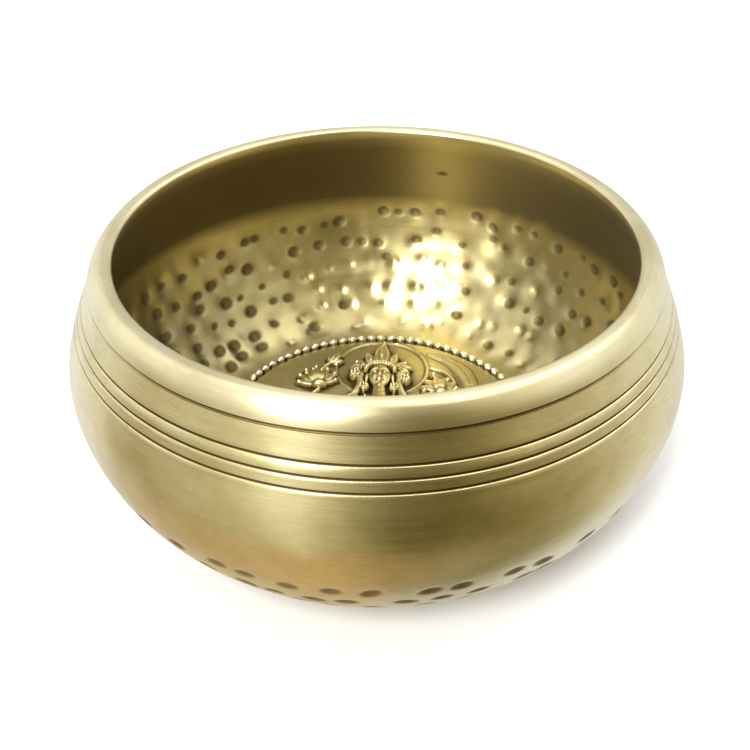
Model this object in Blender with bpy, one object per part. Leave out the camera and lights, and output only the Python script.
"""Singing bowl with a relief medallion set in its floor.

The bowl is one brass casting, turned outside and hammered inside. A plaque with a seated figure
lies on its floor on a thin bed of solder, inside a beaded border. Nothing moves.

Metres, +Z up. The origin is the middle of the flat underside, and +Y is the figure's upward side.
"""

import math

import bmesh
import bpy
from mathutils import Vector
from mathutils.geometry import interpolate_bezier

# Driving dimensions of the bowl
HEIGHT = 0.049
BELLY_RADIUS = 0.0554  # outside, at its widest
BELLY_HEIGHT = 0.0276  # of the widest place above the table
MOUTH_INSET = 0.0104  # from the belly in to the mouth's inner edge
WALL = 0.0029
FLOOR = 0.0032  # thickness under the medallion

# The rolled rim
RIM_CHAMFER = 0.0005  # inner edge of the mouth
RIM_TOP = 0.0023  # from the mouth's inner edge out to the ridge
RIM_FACE_SPREAD = 0.0023  # from the ridge out to the first groove
RIM_FACE_BULGE = 0.00035
SHOULDER_SLOPE = math.radians(24)  # off the vertical, just under the rim

# Turned grooves, as depths below the top of the rim
GROOVE_DEPTHS = (0.0034, 0.0077, 0.0096, 0.0115)
GROOVE_WIDTH = 0.0005
GROOVE_CUT = 0.0004

# The medallion, its border and the solder
PLAQUE_RADIUS = 0.0301
PLAQUE_THICKNESS = 0.0011
SOLDER_THICKNESS = 0.0004
SOLDER_SETBACK = 0.001  # from the plaque's edge in to the solder's
BEAD_COUNT = 90
BEAD_RADIUS = 0.0008
BEAD_NECK = 0.6  # the border's section between beads, as a share of a bead's
BEAD_LIFT = 0.0004  # of the beads' centres above the plaque's face
FLOOR_STRIP = 0.0015  # bare floor outside the border
FOOT_INSET = 0.0015  # the flat underside stops this far inside the flat floor's edge
CLEARANCE = 0.0003  # between pieces that touch

# The figure's masses on the plaque: middle x and y, half width, half length and height
FIGURE_LEAN = math.radians(-3.2)
FIGURE = {
    "crown": (0.0, 0.0195, 0.0042, 0.0058, 0.0020),
    "head": (0.0, 0.0135, 0.0031, 0.0044, 0.0032),
    "shoulders": (0.0, 0.0055, 0.0085, 0.0038, 0.0024),
    "torso": (0.0, 0.0010, 0.0058, 0.0080, 0.0030),
    "left_arm": (-0.0085, 0.0000, 0.0026, 0.0065, 0.0022),
    "right_arm": (0.0085, 0.0000, 0.0026, 0.0065, 0.0022),
    "left_knee": (-0.0095, -0.0078, 0.0075, 0.0036, 0.0028),
    "right_knee": (0.0095, -0.0078, 0.0075, 0.0036, 0.0028),
    "lap": (0.0, -0.0078, 0.0080, 0.0040, 0.0030),
    "lotus_seat": (0.0, -0.0155, 0.0165, 0.0046, 0.0022),
    "left_flower": (-0.0135, 0.0165, 0.0042, 0.0050, 0.0014),
    "right_flower": (0.0135, 0.0165, 0.0042, 0.0050, 0.0014),
}
HALO_CENTRE_Y = 0.0202
HALO_RADIUS = 0.0101
HALO_LINE = 0.0009
HALO_HEIGHT = 0.0004

# Fineness of the turned shapes
BOWL_STEPS = 64
PLAQUE_STEPS = 72
PLAQUE_RINGS = 19
SIDE_POINTS = 11  # along each of the wall's curves

# Sizes that follow from the ones above
MOUTH_RADIUS = BELLY_RADIUS - MOUTH_INSET
BORDER_INNER = PLAQUE_RADIUS + CLEARANCE
BORDER_RADIUS = BORDER_INNER + BEAD_RADIUS
FLOOR_RADIUS = BORDER_RADIUS + BEAD_RADIUS + FLOOR_STRIP
FOOT_RADIUS = FLOOR_RADIUS - FOOT_INSET
SOLDER_BOTTOM = FLOOR + CLEARANCE
PLAQUE_BOTTOM = SOLDER_BOTTOM + SOLDER_THICKNESS + CLEARANCE
PLAQUE_FACE = PLAQUE_BOTTOM + PLAQUE_THICKNESS

BRASS = (0.60, 0.50, 0.27, 1.0)
AGED_BRASS = (0.42, 0.34, 0.17, 1.0)
BRIGHT_BRASS = (0.72, 0.62, 0.36, 1.0)
SOLDER = (0.45, 0.44, 0.42, 1.0)


def clear_scene():
    for thing in list(bpy.data.objects):
        bpy.data.objects.remove(thing)


def metal(name, colour, roughness):
    material = bpy.data.materials.new(name)
    material.use_nodes = True
    shader = material.node_tree.nodes["Principled BSDF"]
    shader.inputs["Base Color"].default_value = colour
    shader.inputs["Metallic"].default_value = 1.0
    shader.inputs["Roughness"].default_value = roughness
    material.diffuse_color = colour
    return material


def finish_piece(name, shape, material):
    """Turn a closed bmesh into the named object."""
    bmesh.ops.recalc_face_normals(shape, faces=shape.faces)
    mesh = bpy.data.meshes.new(name)
    shape.to_mesh(mesh)
    shape.free()
    mesh.materials.append(material)
    mesh.shade_smooth()
    mesh.set_sharp_from_angle(angle=math.radians(40))
    bpy.context.collection.objects.link(bpy.data.objects.new(name, mesh))


def turned(outline, steps, closed=False):
    """Spin an outline of (radius, height) points round Z into a closed solid."""
    shape = bmesh.new()
    verts = [shape.verts.new((radius, 0.0, height)) for radius, height in outline]
    pairs = list(zip(verts, verts[1:]))
    if closed:
        pairs.append((verts[-1], verts[0]))
    edges = [shape.edges.new(pair) for pair in pairs]
    bmesh.ops.spin(
        shape, geom=verts + edges, cent=(0, 0, 0), axis=(0, 0, 1),
        angle=math.tau, steps=steps, use_merge=True,
    )
    bmesh.ops.remove_doubles(shape, verts=shape.verts, dist=1e-6)
    return shape


def lower_side(widest_radius, foot_radius, foot_height, flatness):
    """The wall's curve from its foot up to its widest place; flatness is that of the foot."""
    rise = BELLY_HEIGHT - foot_height
    spread = widest_radius - foot_radius
    foot = Vector((foot_radius, foot_height))
    foot_handle = Vector((foot_radius + flatness * spread, foot_height))
    widest_handle = Vector((widest_radius, BELLY_HEIGHT - 0.4 * rise))
    widest = Vector((widest_radius, BELLY_HEIGHT))
    return interpolate_bezier(foot, foot_handle, widest_handle, widest, SIDE_POINTS)


def upper_side(widest_radius, top_radius, top_height):
    """The wall's curve from its widest place up to the shoulder under the rim."""
    rise = top_height - BELLY_HEIGHT
    slope = Vector((math.sin(SHOULDER_SLOPE), -math.cos(SHOULDER_SLOPE)))
    widest = Vector((widest_radius, BELLY_HEIGHT))
    widest_handle = Vector((widest_radius, BELLY_HEIGHT + 0.25 * rise))
    top = Vector((top_radius, top_height))
    return interpolate_bezier(widest, widest_handle, top + 0.6 * rise * slope, top, SIDE_POINTS)


def with_grooves(side, top_height):
    """Cut the V-shaped grooves into the outer shoulder, a curve that rises all the way."""
    cut = list(side)
    for depth in GROOVE_DEPTHS[1:]:
        height = top_height - depth
        above = next(i for i, point in enumerate(cut) if point[1] > height)
        low, high = Vector(cut[above - 1]), Vector(cut[above])
        along = (high - low).normalized()
        inward = Vector((-along.y, along.x))
        middle = low + (height - low.y) / along.y * along
        edge = GROOVE_WIDTH / 2 * along
        cut = [point for point in cut if abs(point[1] - height) > 1.5 * GROOVE_WIDTH]
        above = sum(point[1] < height for point in cut)
        cut[above:above] = [middle - edge, middle + GROOVE_CUT * inward, middle + edge]
    return cut


def rim_outline():
    """From the first groove up over the rim's face and top to the mouth's inner edge."""
    ridge = Vector((MOUTH_RADIUS + RIM_TOP, HEIGHT))
    low = Vector((ridge.x + RIM_FACE_SPREAD, HEIGHT - GROOVE_DEPTHS[0]))
    face = ridge - low
    outward = Vector((face.y, -face.x)).normalized()
    points = [low + GROOVE_CUT * Vector((-1, 0)), low + GROOVE_WIDTH / 2 * face.normalized()]
    for share in (0.25, 0.5, 0.75):
        bulge = RIM_FACE_BULGE * math.sin(math.pi * share)
        points.append(low + share * face + bulge * outward)
    points += [
        ridge,
        Vector((MOUTH_RADIUS + RIM_CHAMFER, HEIGHT)),
        Vector((MOUTH_RADIUS, HEIGHT - RIM_CHAMFER)),
    ]
    return points


def bowl():
    shoulder_radius = MOUTH_RADIUS + RIM_TOP + RIM_FACE_SPREAD
    shoulder_height = HEIGHT - GROOVE_DEPTHS[0] - GROOVE_WIDTH / 2
    outer = lower_side(BELLY_RADIUS, FOOT_RADIUS, 0.0, flatness=0.62)
    outer += with_grooves(upper_side(BELLY_RADIUS, shoulder_radius, shoulder_height), HEIGHT)[1:]
    inner = upper_side(BELLY_RADIUS - WALL, MOUTH_RADIUS, HEIGHT - RIM_CHAMFER)[:-1][::-1]
    inner += lower_side(BELLY_RADIUS - WALL, FLOOR_RADIUS, FLOOR, flatness=0.5)[:-1][::-1]
    outline = [(0, 0), *outer, *rim_outline(), *inner, (0, FLOOR)]
    finish_piece("bowl", turned(outline, BOWL_STEPS), metal("turned_brass", BRASS, 0.32))


def relief(x, y):
    """Height of the figure and its halo above the plaque's face."""
    cos, sin = math.cos(FIGURE_LEAN), math.sin(FIGURE_LEAN)
    across, up = cos * x + sin * y, cos * y - sin * x
    height = 0.0
    for mid_x, mid_y, half_width, half_length, top in FIGURE.values():
        reach = ((across - mid_x) / half_width) ** 2 + ((up - mid_y) / half_length) ** 2
        height = max(height, top * math.sqrt(max(0.0, 1 - reach)))
    from_line = abs(math.hypot(across, up - HALO_CENTRE_Y) - HALO_RADIUS)
    if from_line < HALO_LINE:
        height = max(height, HALO_HEIGHT)
    return height


def medallion():
    rings = [PLAQUE_RADIUS * i / PLAQUE_RINGS for i in range(PLAQUE_RINGS + 1)]
    outline = [(0, PLAQUE_BOTTOM), (PLAQUE_RADIUS, PLAQUE_BOTTOM)]
    outline += [(radius, PLAQUE_FACE) for radius in reversed(rings)]
    shape = turned(outline, PLAQUE_STEPS)
    for vert in shape.verts:
        if vert.co.z > PLAQUE_FACE - 1e-6 and vert.co.xy.length < PLAQUE_RADIUS - 1e-6:
            vert.co.z += relief(vert.co.x, vert.co.y)
    bmesh.ops.triangulate(shape, faces=shape.faces)
    finish_piece("medallion", shape, metal("plaque_brass", AGED_BRASS, 0.4))


def bead_border():
    """A beaded wire: its section swells at each bead and narrows between them."""
    middle = PLAQUE_FACE + BEAD_LIFT
    foot = FLOOR + CLEARANCE
    section = [(BORDER_RADIUS + BEAD_NECK * BEAD_RADIUS, foot)]
    for degrees in (0, 60, 120, 180):
        angle = math.radians(degrees)
        radius = BORDER_RADIUS + BEAD_RADIUS * math.cos(angle)
        section.append((radius, middle + BEAD_RADIUS * math.sin(angle)))
    section.append((BORDER_RADIUS - BEAD_NECK * BEAD_RADIUS, foot))
    shape = turned(section, 2 * BEAD_COUNT, closed=True)
    for vert in shape.verts:
        turn = math.atan2(vert.co.y, vert.co.x) / math.tau * 2 * BEAD_COUNT
        if vert.co.z > middle - 1e-6 and round(turn) % 2:
            centre = vert.co.xy.normalized() * BORDER_RADIUS
            vert.co.xy = centre + BEAD_NECK * (vert.co.xy - centre)
            vert.co.z = middle + BEAD_NECK * (vert.co.z - middle)
    finish_piece("bead_border", shape, metal("bead_brass", BRIGHT_BRASS, 0.3))


def solder_bed():
    radius = PLAQUE_RADIUS - SOLDER_SETBACK
    top = SOLDER_BOTTOM + SOLDER_THICKNESS
    outline = [(0, SOLDER_BOTTOM), (radius, SOLDER_BOTTOM), (radius, top), (0, top)]
    finish_piece("solder_bed", turned(outline, PLAQUE_STEPS), metal("soft_solder", SOLDER, 0.5))


clear_scene()
bowl()
medallion()
bead_border()
solder_bed()
